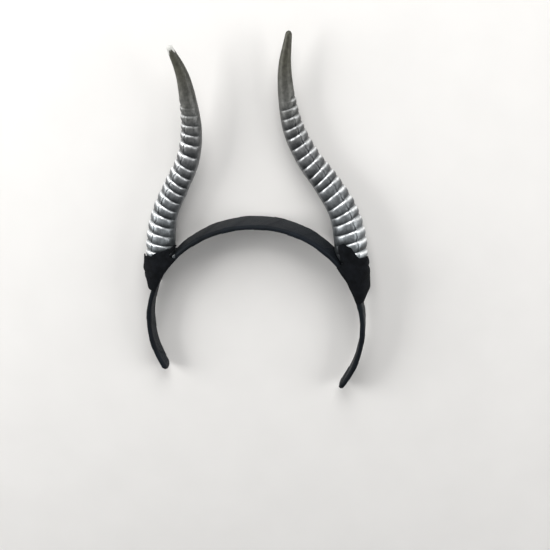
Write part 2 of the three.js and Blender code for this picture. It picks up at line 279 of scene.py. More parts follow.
# Lines of the mesh across the ribbon, as shares of its width: closer where it laps
ACROSS_SHARES = np.array([0, .008, .02, .04, .07, .11, .15, .18, .20, .215, .235, .26, .3,
                          .36, .43, .5, .58, .66, .75, .84, .92, 1.0])


def smooth_step(x, low, high):
    t = np.clip((x - low) / (high - low), 0, 1)
    return t * t * (3 - 2 * t)


def build_ribbon():
    n = len(OUTLINE)
    ring = on_strip(np.zeros(n), OUTLINE, 0.0)
    steps = np.linalg.norm(np.roll(ring, -1, axis=0) - ring, axis=1)
    girth = steps.sum()
    shares = np.concatenate([[0], np.cumsum(steps)])[:-1] / girth
    turns = int(math.ceil((BAND_ENDS[1] - BAND_ENDS[0]) / WIND_PITCH)) + 2
    first = -turns // 2
    row = np.arange(turns * n)
    wound = (first + row // n + shares[row % n])[:, None]
    q = (ACROSS_SHARES * (WIND_PITCH + WIND_LAP))[None]
    u = WIND_PHASE + wound * WIND_PITCH + q - WIND_LAP
    rng = np.random.default_rng(SLACK_SEED)
    loose = rng.uniform(0, 1, (2, turns + 2))
    turn_numbers = np.arange(first, first + turns + 2)
    slack, tone = [np.interp(wound, turn_numbers, values) for values in loose]
    over = 1 - smooth_step(q, WIND_LAP, WIND_LAP + LAP_SLOPE)
    pucker = PUCKER * np.sin(PUCKER_WAVE * u + 3 * slack) * np.sin(2 * PUCKERS * np.pi * wound)
    straight = on_strip(u, OUTLINE[row % n][:, None], RIBBON_THICK * (1 + over) + pucker)
    turn = math.atan2(WIND_PITCH, girth)
    along = wound * girth + 0 * u
    length = along * math.cos(turn) + u * math.sin(turn)
    across = u * math.cos(turn) - along * math.sin(turn)
    off_lap = (q - WIND_LAP - LAP_SHADE_AT) / LAP_SHADE_WIDTH
    # Each lap's own tone, less a painted shade where the lap comes down onto the strip
    shade = LAP_TONE * tone - LAP_SHADE * np.exp(-off_lap ** 2)
    shape = new_shape(straight, grid_faces(len(row), q.size, False), {"lap_tone_and_shade": shade},
                      np.stack([length, across], -1) * MM)
    for end, outward in ((BAND_ENDS[0], -1), (BAND_ENDS[1], 1)):
        bmesh.ops.bisect_plane(
            shape, geom=shape.verts[:] + shape.edges[:] + shape.faces[:],
            plane_co=(end, 0, 0), plane_no=(outward, 0, 0), clear_outer=True)
    for vert, place in zip(shape.verts, bent(np.array([v.co for v in shape.verts]))):
        vert.co = place
    return shape


wound_ribbon = add_piece("headband_ribbon", build_ribbon(), RIBBON)
cloth_body = wound_ribbon.modifiers.new("cloth", "SOLIDIFY")
cloth_body.thickness = BODY_SHARE * RIBBON_THICK * MM


# Horns: two hollow shells of moulded plastic, cast from a real ribbed horn, with its
# uneven ribs, its smooth tip and a seam down the front. Sprayed with pewter paint, which
# has worn off the end of the left tip; painted highlights on the ribs and painted shade in
# their grooves.
SIDES = {"left": -1, "right": 1}
GAP = 0.3                            # between pieces that touch
# Seat: degrees from the crown. Span and girth: what the axis and its radius are shares of.
# Slope: degrees, of the cut foot. Corner: how far below its middle the foot is cut level.
HORN = {
    "left": dict(seat=63.3, span=181, girth=12.0, slope=49, corner=0.5),
    "right": dict(seat=54.3, span=194, girth=13.2, slope=47, corner=7),
}
WALL = 1.8
HOLLOW_SHARE = 0.7                   # of the length
RIB_HEIGHT = 1.25
RIB_PEAK = 0.62                      # of the way up a rib, where it stands out most
RIB_FACE_POWER = 2.4
RIB_LEDGE_POWER = 3
RIB_TILT = 8                         # degrees, higher on the outer side
TILT_GROWS = (0, 0.13)               # shares of the length where the tilt sets in
TILT_ENDS = (0.72, 0.92)             # and where it ends
FOOT_RUN_SHARE = 2.2                 # of the girth, made below the foot and then cut off
LEDGE_BELOW_GROOVE = 0.9             # the bright upper ledge of a rib, under the groove
# Upper ledge of each rib, up the axis from the foot: cast from nature, so uneven
LEDGES = {
    "left": [14, 20.5, 28.5, 36, 44, 52, 60, 67.5, 74, 82, 89.5, 99, 108.5, 116.5, 124,
             132, 138.5, 148],
    "right": [17, 25, 33.5, 42, 49, 57, 65.5, 74, 80.5, 87.5, 96, 104, 112.5, 121, 128,
              136, 143, 149.5, 158],
}
# Axis as shares of the span (inward, back, rise), and radius as a share of the girth
HORN_AXIS = {
    "left": [
        (0.000, 0.000, 0.000, 0.98), (-0.009, 0.012, 0.128, 0.99), (0.004, 0.022, 0.257, 0.87),
        (0.049, 0.025, 0.380, 0.84), (0.094, 0.024, 0.502, 0.77), (0.106, 0.017, 0.631, 0.70),
        (0.091, 0.002, 0.759, 0.57), (0.062, -0.020, 0.885, 0.41), (0.010, -0.047, 1.000, 0.20),
    ],
    "right": [
        (0.000, 0.000, 0.000, 0.93), (0.015, 0.021, 0.125, 1.00), (0.056, 0.038, 0.247, 0.89),
        (0.131, 0.053, 0.352, 0.82), (0.216, 0.062, 0.450, 0.74), (0.282, 0.065, 0.561, 0.65),
        (0.319, 0.062, 0.686, 0.51), (0.335, 0.052, 0.814, 0.38), (0.328, 0.038, 0.943, 0.20),
    ],
}


def unit(rows):
    return rows / np.linalg.norm(rows, axis=-1, keepdims=True)


def through(rows, per_span=60):
    """Points of the centripetal curve that passes through the rows."""
    p = np.vstack([2 * rows[0] - rows[1], rows, 2 * rows[-1] - rows[-2]])
    gaps = np.sqrt(np.linalg.norm(np.diff(p[:, :3], axis=0), axis=1))
    knots = np.concatenate([[0], np.cumsum(gaps)])
    spans = []
    for i in range(1, len(p) - 2):
        t = np.linspace(knots[i], knots[i + 1], per_span, endpoint=False)[:, None]
        k = knots[i - 1:i + 3]
        a = [((k[j + 1] - t) * p[i - 1 + j] + (t - k[j]) * p[i + j]) / (k[j + 1] - k[j])
             for j in range(3)]
        b = [((k[j + 2] - t) * a[j] + (t - k[j]) * a[j + 1]) / (k[j + 2] - k[j])
             for j in range(2)]
        spans.append(((k[2] - t) * b[0] + (t - k[1]) * b[1]) / (k[2] - k[1]))
    return np.vstack(spans + [p[-2:-1]])


class HornAxis:
    """Middle line of a horn from its foot on the band, with its radius."""

    def __init__(self, side):
        size = HORN[side]
        self.sign = SIDES[side]
        at, out = band_place(np.array(float(self.sign * size["seat"])))
        self.foot = at + out * (BAND_THICK / 2 + GAP)
        rows = np.array(HORN_AXIS[side])
        line = np.column_stack([-self.sign * rows[:, 0], rows[:, 1:3]]) * size["span"]
        self.curve = through(np.column_stack([line + self.foot, rows[:, 3] * size["girth"]]))
        steps = np.linalg.norm(np.diff(self.curve[:, :3], axis=0), axis=1)
        self.reach = np.concatenate([[0], np.cumsum(steps)])
        self.length = self.reach[-1]
        self.slopes = np.gradient(self.curve[:, :3], self.reach, axis=0)
        self.foot_run = FOOT_RUN_SHARE * size["girth"]

    def frame(self, s):
        """Middle, the three directions, radius and the ribs' tilt, at s up the axis."""
        held = np.clip(s, 0, self.length)
        middle, ahead = [np.stack([np.interp(held, self.reach, rows[:, k]) for k in range(3)],
                                  -1) for rows in (self.curve, self.slopes)]
        ahead = unit(ahead)
        middle = middle + ahead * (s - held)[..., None]
        outer = unit(np.array([self.sign, 0, 0]) - ahead * ahead[..., :1] * self.sign)
        front = np.array([0, -1, 0]) + ahead * ahead[..., 1:2]
        front = unit(front - outer * np.sum(front * outer, -1, keepdims=True))
        share = s / self.length
        tilt = math.tan(math.radians(RIB_TILT)) * smooth_step(share, *TILT_GROWS)
        tilt = tilt * (1 - smooth_step(share, *TILT_ENDS))
        return middle, ahead, outer, front, np.interp(held, self.reach, self.curve[:, 3]), tilt

    def point(self, s, a, grow):
        """Point at s up the axis, a radians from the front to the outer side."""
        s, a, grow = np.broadcast_arrays(s, a, grow)
        middle, ahead, outer, front, radius, tilt = self.frame(s)
        across = outer * np.sin(a)[..., None] + front * np.cos(a)[..., None]
        return (middle + across * (radius + grow)[..., None]
                + ahead * (radius * np.sin(a) * tilt)[..., None])

    def where(self, spots):
        """Undoes point(): how far up the axis each spot is, and its angle round it."""
        s = np.linspace(-self.foot_run, self.length, 300)
        middle, ahead, outer, front, radius, tilt = self.frame(s)
        near = np.argmin(((spots[:, None] - middle[None]) ** 2).sum(-1), axis=1)
        rel = spots - middle[near]
        a = np.arctan2((rel * outer[near]).sum(-1), (rel * front[near]).sum(-1))
        climb = s[near] + (rel * ahead[near]).sum(-1)
        return climb - radius[near] * np.sin(a) * tilt[near], a


def seat_plane(side):
    slope = math.radians(HORN[side]["slope"])
    normal = np.array([SIDES[side] * math.sin(slope), 0, math.cos(slope)])
    at, out = band_place(SIDES[side] * np.arange(0, BAND_END_ANGLE, 1.0))
    top = at + out * (BAND_THICK / 2 + BAND_CROWNING)
    return normal, (top @ normal).max() + GAP


def rib_swell(phase):
    """Swell of a rib at its phase: a face that swells outward, then a short ledge."""
    rise = 1 - (1 - np.clip(phase / RIB_PEAK, 0, 1)) ** RIB_FACE_POWER
    past_peak = np.clip((phase - RIB_PEAK) / (1 - RIB_PEAK), 0, 1)
    fall = np.sqrt(1 - past_peak ** RIB_LEDGE_POWER)
    return np.where(phase < RIB_PEAK, rise, fall)


def groove_heights(side):
    """Grooves up the axis, the first of them under the lowest rib."""
    grooves = np.array(LEDGES[side]) + LEDGE_BELOW_GROOVE
    return np.concatenate([[2 * grooves[0] - grooves[1]], grooves])


def sprayed_pewter():
    # Pewter paint sprayed on moulded ABS: grey metal flake, painted shade under each rib, a
    # painted highlight on the ledges, olive towards the smooth tip, bare where worn.
    made, tree, shader = new_material("pewter_sprayed_abs", {
        "Coat Weight": 0.12, "Coat Roughness": 0.25,
    })
    place = node(tree, "TexCoord")
    painted_shading, ledge, rise, bare = [node(tree, "Attribute", {"attribute_name": key}).outputs["Fac"]
                                for key in ("painted_shading", "ledge", "rise", "bare")]
    mottle = node(tree, "TexNoise", {"Scale": 1 / (3.5 * MM), "Detail": 4.0, "Roughness": 0.6},
                  {"Vector": place.outputs["Object"]})
    grain = node(tree, "UVMap", {"uv_map": "layout"})
    stretch = node(tree, "Mapping", {"Scale": (1 / (0.9 * MM), 1 / (9 * MM), 1)},
                   {"Vector": grain.outputs["UV"]})
    fibres = node(tree, "TexNoise", {"Scale": 1.0, "Detail": 3.0},
                  {"Vector": stretch.outputs[0]})
    body = node(tree, "ValToRGB", None, {"Fac": rise})
    body.color_ramp.elements[0].color = colour("#8f9598")
    body.color_ramp.elements[1].color = colour("#48473e")
    body.color_ramp.elements[1].position = 0.9
    body.color_ramp.elements.new(0.5).color = colour("#737475")
    # Painted shade: darker in the grooves, in the seam and on the inner side
    shaded_body = node(tree, "MixRGB", {1: colour("#2f3234")}, {0: painted_shading, 2: body.outputs["Color"]})
    patchy = node(tree, "MapRange", {1: 0.3, 2: 0.7, 3: 0.62, 4: 1.38},
                  {0: mottle.outputs["Fac"]})
    streaky = node(tree, "MapRange", {1: 0.3, 2: 0.7, 3: 0.86, 4: 1.14},
                   {0: fibres.outputs["Fac"]})
    uneven = node(tree, "Math", {"operation": "MULTIPLY"},
                  {0: patchy.outputs[0], 1: streaky.outputs[0]})
    mottled = node(tree, "MixRGB", {"blend_type": "MULTIPLY", 0: 1.0},
                   {1: shaded_body.outputs["Color"], 2: uneven.outputs[0]})
    # Painted highlight: near white along the ledges, brightest near the seam
    highlight_share = node(tree, "Math", {"operation": "MULTIPLY", "use_clamp": True},
               {0: ledge, 1: uneven.outputs[0]})
    highlighted = node(tree, "MixRGB", {2: colour("#f7f9fa")},
                  {0: highlight_share.outputs[0], 1: mottled.outputs["Color"]})
    worn = node(tree, "MixRGB", {2: colour("#bfbfba")}, {0: bare, 1: highlighted.outputs["Color"]})
    tree.links.new(worn.outputs["Color"], shader.inputs["Base Color"])
    metal = node(tree, "MapRange", {3: 0.6, 4: 0.0}, {0: bare})
    tree.links.new(metal.outputs[0], shader.inputs["Metallic"])
    dull = node(tree, "MapRange", {3: 0.3, 4: 0.46}, {0: mottle.outputs["Fac"]})
    matt_tip = node(tree, "MapRange", {1: 0.6, 2: 0.85, 3: 0.0, 4: 0.2}, {0: rise})
    duller = node(tree, "Math", {"operation": "ADD"},
                  {0: dull.outputs[0], 1: matt_tip.outputs[0]})
    tree.links.new(duller.outputs[0], shader.inputs["Roughness"])
    spray = node(tree, "TexNoise", {"Scale": 1 / (0.7 * MM), "Detail": 2.0},
                 {"Vector": place.outputs["Object"]})
    lines = node(tree, "Bump", {"Strength": 0.4, "Distance": 0.14 * MM},
                 {"Height": fibres.outputs["Fac"]})
    peel = node(tree, "Bump", {"Strength": 0.35, "Distance": 0.07 * MM},
                {"Height": spray.outputs["Fac"], "Normal": lines.outputs["Normal"]})
    tree.links.new(peel.outputs["Normal"], shader.inputs["Normal"])
    return made


PEWTER = sprayed_pewter()
OUTER_FULL = 0.35                    # radians from the seam to the full outer form
# Painted shade and painted highlight on the paint, in shares of a rib up from its groove,
# and how each value changes on the outer side: painted shade in the groove, light above
# it, a painted highlight at the ledge
SHADE_UNTIL = 0.08
SHADE_UNTIL_OUTER = 0.14
LIGHT_FROM = 0.78
LIGHT_POWER = 0.9
# Painted highlight along each ledge: where it lies, how wide and how bright
LEDGE_AT = 0.9
LEDGE_AT_OUTER = -0.12
LEDGE_WIDTH = 0.072
LEDGE_WIDTH_OUTER = 0.045
LEDGE_HIGHLIGHT = 1.15
LEDGE_HIGHLIGHT_ROUND = 48                    # degrees of the inner side over which it fades
LEDGE_HIGHLIGHT_LESS = 0.4                    # of it is lost up the horn
LEDGE_HIGHLIGHT_LESS_FROM = (0.4, 0.75)
# Painted shade in the seam and on the inner side, and less painted highlight in the seam
SEAM_DARK = 0.6
SEAM_LESS_HIGHLIGHT = 0.5
INNER_DARK = 0.45
INNER_DARK_ROUND = (30, 95)          # degrees from the seam
INNER_DARK_LESS = 0.6                # of it is lost up the horn
DARKEST = 0.05
BARE_LENGTH = {"left": 3.4}          # of the tip, where the paint has worn off
BARE_EDGE = 0.9
BARE_WAVES = ((1.6, 3, 0.6), (0.7, 7, 0))
BARE_INSIDE = {"painted_shading": 0.2, "ledge": 0, "rise": 0.3, "bare": 0}


def paint_shading_and_wear(side, axis, s, from_keel, within, strength, reach, seam):
    """Painted shade and painted highlight on the paint, how far up the horn it lies, and where it
    is off.
    """
    outer = smooth_step(from_keel, 0.0, OUTER_FULL)
    inner = np.degrees(np.clip(-from_keel, 0, None))
    dark_until = SHADE_UNTIL + SHADE_UNTIL_OUTER * outer
    shade = np.clip((within - dark_until) / (LIGHT_FROM - dark_until), 0, 1) ** LIGHT_POWER
    # Painted shade: dark low in each rib, in the seam and on the inner side
    painted_shading = 1 - (1 - shade) * strength * reach - SEAM_DARK * seam
    inner_dark = INNER_DARK * smooth_step(inner, *INNER_DARK_ROUND)
    painted_shading = painted_shading * (1 - inner_dark * (1 - INNER_DARK_LESS * s / axis.length))
    # Painted highlight along the ledges, brightest near the seam and less up the horn
    near_keel = np.exp(-(inner / LEDGE_HIGHLIGHT_ROUND) ** 2) * (1 - SEAM_LESS_HIGHLIGHT * seam)
    near_keel = near_keel * (1 - LEDGE_HIGHLIGHT_LESS * smooth_step(s / axis.length, *LEDGE_HIGHLIGHT_LESS_FROM))
    peak = LEDGE_AT + LEDGE_AT_OUTER * outer
    width = LEDGE_WIDTH + LEDGE_WIDTH_OUTER * outer
    ledge = LEDGE_HIGHLIGHT * np.exp(-((within - peak) / width) ** 2) * strength * reach * near_keel
    bare = np.zeros_like(painted_shading)
    if side in BARE_LENGTH:
        ragged = sum(depth * np.sin(waves * from_keel + start)
                     for depth, waves, start in BARE_WAVES)
        bare = smooth_step(s - (axis.length - BARE_LENGTH[side]) + ragged, 0, BARE_EDGE)
    return {"painted_shading": np.clip(painted_shading, DARKEST, 1), "ledge": ledge,
            "rise": np.clip(s / axis.length, 0, 1), "bare": bare}


RIB_SEED = {"left": 11, "right": 23}
RIB_KEEPS = (0.78, 1.0)              # share of the full height, drawn for each rib
RIB_WAVE = 0.14                      # by which its height waves round the horn
RIB_WAVES = 2.6
RIB_REACH = (62, 104)                # degrees from the seam where the ribs die away
FAINT_RIBS = 5                       # the last ones, which are lower
FAINT_LOSS = 0.7
FAINT_LOSS_OUTER = 0.5               # of that loss is spared on the outer side
OUTER_DEEPER = 0.45                  # ribs are this much deeper on the outer side
OUTER_SHIFT = 0.07                   # and sit this much of a rib nearer the tip
OUTER_ROUNDER = 0.6                  # and are this much nearer a plain round form
ROUND_POWER = 0.7
KEEL_TURN = 28                       # degrees, of the moulding seam, outward of the front
KEEL_DEPTH = 0.7
KEEL_HALF_WIDTH = 0.42
KEEL_STARTS = (4, 12)                # up the axis, where the seam sets in
KEEL_ENDS = (0.6, 0.78)              # shares of the length where it dies away
KEEL_SHALLOWER = 0.45                # on the swell of a rib
KEEL_WAVES = ((0.035, 0.9, 0), (0.02, 0.37, 1))  # radians, radians a millimetre, start
KEEL_STRAY = 0.04                    # radians, drawn for each rib
LUMPS = 0.06


def rib_relief(side, axis, s, from_keel):
    """Depth under the plain skin, with its ribs and seam, and the paint's painted shade, painted
    highlight and wear.
    """
    rng = np.random.default_rng(RIB_SEED[side])
    grooves = groove_heights(side)
    count = len(grooves) - 1
    outer = smooth_step(from_keel, 0.0, OUTER_FULL)
    phase = np.interp(s, grooves, np.arange(count + 1.0), left=0, right=count)
    phase = np.clip(phase - OUTER_SHIFT * outer, 0, count - 1e-6)
    rib = np.floor(phase).astype(int)
    within = phase - rib

    fading = smooth_step(s, grooves[-1 - FAINT_RIBS], grooves[-2])
    faint = 1 - FAINT_LOSS * fading * (1 - FAINT_LOSS_OUTER * outer)
    ends = grooves[-3] + (grooves[-2] - grooves[-3]) * outer
    faint = faint * (1 - smooth_step(s, ends, ends + grooves[-1] - grooves[-2]))
    uneven = rng.uniform(*RIB_KEEPS, count)[rib]
    wave = 1 + RIB_WAVE * np.sin(RIB_WAVES * from_keel + rng.uniform(0, 6.3, count)[rib])
    strength = np.where(s > grooves[0], faint * uneven * wave, 0)
    rounder = np.sin(np.pi * within) ** ROUND_POWER * OUTER_ROUNDER * outer
    swell = rib_swell(within) * (1 - OUTER_ROUNDER * outer) + rounder
    reach = 1 - smooth_step(np.degrees(np.abs(from_keel)), *RIB_REACH)
    dip = RIB_HEIGHT * (1 + OUTER_DEEPER * outer) * (1 - swell) * strength * reach

    bend = sum(depth * np.sin(rate * s + start) for depth, rate, start in KEEL_WAVES)
    bend = bend + rng.uniform(-KEEL_STRAY, KEEL_STRAY, count)[rib] * np.sin(np.pi * within) ** 2
    off_keel = (from_keel - bend) * np.interp(s, axis.reach, axis.curve[:, 3])
    seam = np.exp(-(off_keel / KEEL_HALF_WIDTH) ** 2) * smooth_step(s, *KEEL_STARTS)
    seam = seam * (1 - smooth_step(s / axis.length, *KEEL_ENDS)) * (1 - KEEL_SHALLOWER * swell)
    lumps = LUMPS * (np.sin(0.31 * s + 2 * from_keel) * np.cos(3 * from_keel + 0.2 * s) - 1)
    return (lumps - dip - KEEL_DEPTH * seam,
            paint_shading_and_wear(side, axis, s, from_keel, within, strength, reach, seam))


# Rings of the mesh in each rib, as shares of it: closer at its ledge
RIB_SAMPLES = np.array([0, .035, .09, .17, .27, .38, .5, .62, .72, .8, .87, .92, .96, .985])
FOOT_RINGS = 14
SMOOTH_RINGS = 44                    # from the last rib to the tip
ROUND_POINTS = 120
ROUND_CROWDING = 0.7                 # points lie closer at the seam
HOLLOW_RINGS = 26
HOLLOW_POINTS = 48
TIP_RINGS = (20, 40, 58, 74)         # degrees from the tip's rim to its end
TIP_POINT = {"left": 0.7, "right": 1.3}


def build_horn(side):
    axis = HornAxis(side)
    grooves = groove_heights(side)
    ribbed = (grooves[:-1, None] + np.diff(grooves)[:, None] * RIB_SAMPLES).ravel()
    s = np.concatenate([np.linspace(-axis.foot_run, grooves[0], FOOT_RINGS)[:-1], ribbed,
                        np.linspace(grooves[-1], axis.length - GAP, SMOOTH_RINGS)])
    share = np.arange(ROUND_POINTS) / ROUND_POINTS
    from_keel = 2 * np.pi * share - ROUND_CROWDING * np.sin(2 * np.pi * share)
    from_keel = np.where(from_keel > np.pi, from_keel - 2 * np.pi, from_keel)
    up, turn = np.meshgrid(s, from_keel, indexing="ij")
    relief, floats = rib_relief(side, axis, up, turn)
    skin = axis.point(up, turn + math.radians(KEEL_TURN), relief)

    middle, ahead, _, _, radius, _ = [row[-1] for row in axis.frame(s)]
    point = ahead * radius * TIP_POINT[side]
    for angle in np.radians(TIP_RINGS):
        ring = middle + (skin[len(s) - 1] - middle) * math.cos(angle) + point * math.sin(angle)
        skin = np.concatenate([skin, ring[None]])
        floats = {key: np.vstack([rows, rows[-1:]]) for key, rows in floats.items()}
    rings, n = skin.shape[:2]
    faces = grid_faces(rings, n, True)
    peak = rings * n
    faces += [[peak - n + k, peak - n + (k + 1) % n, peak] for k in range(n)]
    layout = np.stack(np.broadcast_arrays(from_keel * HORN[side]["girth"],
                                          np.append(s, [s[-1]] * len(TIP_RINGS))[:, None]), -1)

    hollow_s = np.linspace(-axis.foot_run - 1, HOLLOW_SHARE * axis.length, HOLLOW_RINGS)
    hollow_a = 2 * np.pi * np.arange(HOLLOW_POINTS) / HOLLOW_POINTS
    lining = axis.point(hollow_s[:, None], hollow_a[None], -WALL - RIB_HEIGHT / 2)
    base = peak + 1
    faces += [[base + k for k in face] for face in grid_faces(HOLLOW_RINGS, HOLLOW_POINTS, True)]
    top = base + (HOLLOW_RINGS - 1) * HOLLOW_POINTS
    faces.append(list(range(top, top + HOLLOW_POINTS)))
    points = np.vstack([skin.reshape(-1, 3), middle + point, lining.reshape(-1, 3)])
    inside = HOLLOW_RINGS * HOLLOW_POINTS
    floats = {key: np.concatenate([rows.ravel(), rows[-1, :1], np.full(inside, BARE_INSIDE[key])])
              for key, rows in floats.items()}
    layout = np.vstack([layout.reshape(-1, 2), np.zeros((1 + inside, 2))]) * MM
    shape = new_shape(points, faces, floats, layout)

    # The foot is cut to the band's slope and its outer corner, and the rim is closed
    normal, offset = seat_plane(side)
    corner = axis.foot[2] - HORN[side]["corner"]
    for co, no in ((normal * offset, -normal), ((0, 0, corner), (0, 0, -1))):
        bmesh.ops.bisect_plane(
            shape, geom=shape.verts[:] + shape.edges[:] + shape.faces[:], dist=1e-6,
            plane_co=co, plane_no=no, clear_outer=True)
    bmesh.ops.bridge_loops(shape, edges=[edge for edge in shape.edges if edge.is_boundary])
    return shape


for side in SIDES:
    horn = add_piece(f"horn_{side}_shell", build_horn(side), PEWTER)
    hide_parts(f"horn_{side}")


# Wraps: a patch of black felt stretched over the foot of each horn and glued round the
# band, its upper edge cut by hand. The felt is thinner where it is pulled tight.
CLOTH = 1.6
CLOTH_TOP = 1.1
THINNING = (-4, 6)                   # up the axis, where it goes from one to the other
EASE = 0.35                          # more than the gap, between the felt and what it covers
# Above and below: along the band from the horn's seat. Height: up the horn. Reach: towards
# the crown, over the height of the notch. Crease: how high it lies.
WRAP = {
    "left": dict(above=17.1, below=16.2, height=23.5, reach=11.5, notch=-13, crease=-4),
    "right": dict(above=14, below=22.2, height=28, reach=3.2, notch=12, crease=8),
}
WRAP_EDGE_LEAN = 20
BACK_LOWER = 7.0                     # the felt comes less far up the horn's back
BACK_FROM = (-2, 4)                  # behind the foot's middle
EDGE_WAVES = ((0.35, 11, 0), (0.2, 23, 1))  # depth, waves round the horn, start
HEAD_SIDE = -0.3                     # a face of the band that looks further in is bare
# Upper edge: degrees from the front to the outer side, and share of the wrap's height
WRAP_TOP = {
    "left": [(-90, 0.89), (-67, 1.00), (-42, 0.91), (-7, 0.72), (15, 0.60), (30, 0.49),
             (90, 0.47)],
    "right": [(-90, 0.79), (-35, 0.95), (-17, 1.00), (5, 0.79), (15, 0.62), (32, 0.48),
              (90, 0.48)],
}
FOLD_HEIGHT = 0.6
# Two sets of folds: share of the height, folds round the horn, lean and start
FOLD_SETS = ((0.6, 5, 0.11, 0.8), (0.4, 9, -0.2, 0))
FOLDS_START = (-26, -8)              # above the foot's middle, where they grow
FOLDS_EASE = (6, 22)                 # and where they are halved
CREASE_DEPTH = 0.6                   # of the one sharper crease on the outer side
CREASE_WIDTH = 1.3
CREASE_RISE = 3                      # towards the front
CREASE_BANK = 4                      # from the crease to the low bank beside it
CREASE_BANK_WIDTH = 2.5
FORM_VOXEL = 0.8
FORM_EASING = 6
FORM_POINTS = 48
EDGE_BACK = 0.5                      # the felt's edges stop short of the stretched form's
# The patch as it was cut, before it was stretched: width and length, and its area
FELT_CUT = {"left": ((40, 52), 1550), "right": ((42, 60), 1950)}


def needled_felt():
    # Wool and viscose felt, needled and dyed black: matt, a fuzz of short fibres that
    # catches a little light, faint cloudy tone. Fibres are drawn twice as thick as real.
    made, tree, shader = new_material("needled_black_felt", {
        "Sheen Weight": 0.02, "Sheen Roughness": 0.5, "Specular IOR Level": 0.06,
    })
    place = node(tree, "TexCoord")
    cloud = node(tree, "TexNoise", {"Scale": 1 / (5 * MM), "Detail": 3.0},
                 {"Vector": place.outputs["Object"]})
    fibre = node(tree, "TexNoise", {"Scale": 1 / (0.6 * MM), "Detail": 4.0, "Distortion": 2.5},
                 {"Vector": place.outputs["Object"]})
    tone = node(tree, "Math", {"operation": "MULTIPLY"},
                {0: cloud.outputs["Fac"], 1: fibre.outputs["Fac"]})
    ramp = node(tree, "ValToRGB", None, {"Fac": tone.outputs[0]})
    ramp.color_ramp.elements[0].color = colour("#060708")
    ramp.color_ramp.elements[0].position = 0.12
    ramp.color_ramp.elements[1].color = colour("#17191d")
    ramp.color_ramp.elements[1].position = 0.42
    tree.links.new(ramp.outputs["Color"], shader.inputs["Base Color"])
    bump = node(tree, "Bump", {"Strength": 1.0, "Distance": 0.4 * MM},
                {"Height": fibre.outputs["Fac"]})
    tree.links.new(bump.outputs["Normal"], shader.inputs["Normal"])
    dull = node(tree, "MapRange", {3: 0.85, 4: 1.0}, {0: cloud.outputs["Fac"]})
    tree.links.new(dull.outputs[0], shader.inputs["Roughness"])
    return made


FELT = needled_felt()


def with_modifiers(shape, *kinds):
    """The bmesh after each modifier, given as its kind and its settings."""
    mesh = bpy.data.meshes.new("form")
    shape.to_mesh(mesh)
    form = bpy.data.objects.new("form", mesh)
    bpy.context.scene.collection.objects.link(form)
    for kind, settings in kinds:
        made = form.modifiers.new(kind, kind)
        for key, value in settings.items():
            setattr(made, key, value)
    bpy.context.view_layer.update()
    ready = form.evaluated_get(bpy.context.evaluated_depsgraph_get())
    shape.clear()
    shape.from_mesh(ready.to_mesh())
    bpy.data.objects.remove(form)
    bpy.data.meshes.remove(mesh)
    return shape


def stretched_form(side, axis):
    """Felt pulled over the foot of the horn and a stretch of band, as a closed form."""
    size = WRAP[side]
    around = 2 * np.pi * np.arange(FORM_POINTS) / FORM_POINTS
    grow = GAP + EASE + CLOTH
    normal, offset = seat_plane(side)
    ahead = unit(axis.slopes[0])
    loop = axis.point(np.zeros(FORM_POINTS), around, grow)
    corner = axis.foot[2] - HORN[side]["corner"]
    drop = np.maximum((offset - grow - loop @ normal) / (ahead @ normal),
                      (corner - grow - loop[:, 2]) / ahead[2])
    foot = loop + ahead * drop[:, None]
    top = axis.point(np.full(FORM_POINTS, size["height"] + CLOTH), around,
                     GAP + EASE + CLOTH_TOP)
    seat = np.interp(axis.sign * HORN[side]["seat"], ARC_ANGLES, ARC_LENGTHS)
    lift = np.where(OUTLINE[:, 3] < HEAD_SIDE, 0.0, grow)
    upper, middle, lower = [
        bent(on_strip(np.full(len(OUTLINE), seat + axis.sign * along), OUTLINE, lift,
                      BAND_THICK / 2, 0.0))
        for along in (-size["above"], (size["below"] - size["above"]) / 2, size["below"])]
    form = bmesh.new()
    for loops in ((top, foot, upper, middle), (foot, middle, lower)):
        spots = [form.verts.new(spot) for spot in np.vstack(loops)]
        bmesh.ops.convex_hull(form, input=spots)
        bmesh.ops.delete(form, geom=[v for v in spots if v.is_valid and not v.link_faces],
                         context="VERTS")
    return with_modifiers(form, ("REMESH", dict(mode="VOXEL", voxel_size=FORM_VOXEL)),
                          ("SMOOTH", dict(factor=0.5, iterations=FORM_EASING)))


def cut_away(side, axis, spots):
    """Above nought where there is no felt: over its hand-cut top edge, beside the inner
    notch, past its two ends on the band, and on the head side of the band."""
    size = WRAP[side]
    climb, a = axis.where(spots)
    turns, climbs = np.array(WRAP_TOP[side]).T
    edge = size["height"] * np.interp(np.degrees(np.arcsin(np.sin(a))), turns, climbs)
    over = climb - edge
    for depth, waves, start in EDGE_WAVES:
        over -= depth * np.sin(waves * a + start)
    over += BACK_LOWER * smooth_step(spots[:, 1] - axis.foot[1], *BACK_FROM)
    lean = math.radians(WRAP_EDGE_LEAN)
    inward = np.array([-axis.sign * math.cos(lean), 0, -math.sin(lean)])
    beside = np.minimum((spots - axis.foot) @ inward - size["reach"],
                        spots[:, 2] - axis.foot[2] - size["notch"])
    at, out = band_place(ARC_ANGLES)
    near = np.argmin(((spots[:, None, ::2] - at[None, :, ::2]) ** 2).sum(-1), axis=1)
    off = ((spots - at[near]) * out[near]).sum(-1)
    seat = np.interp(axis.sign * HORN[side]["seat"], ARC_ANGLES, ARC_LENGTHS)
    along = axis.sign * (ARC_LENGTHS[near] - seat)
    past = np.maximum(along - size["below"], -size["above"] - along) + EDGE_BACK
    past = np.minimum(past, BAND_THICK / 2 + GAP + EASE + CLOTH + EDGE_BACK - off)
    return np.max([over, beside, past, EDGE_BACK - BAND_THICK / 2 - off], axis=0)


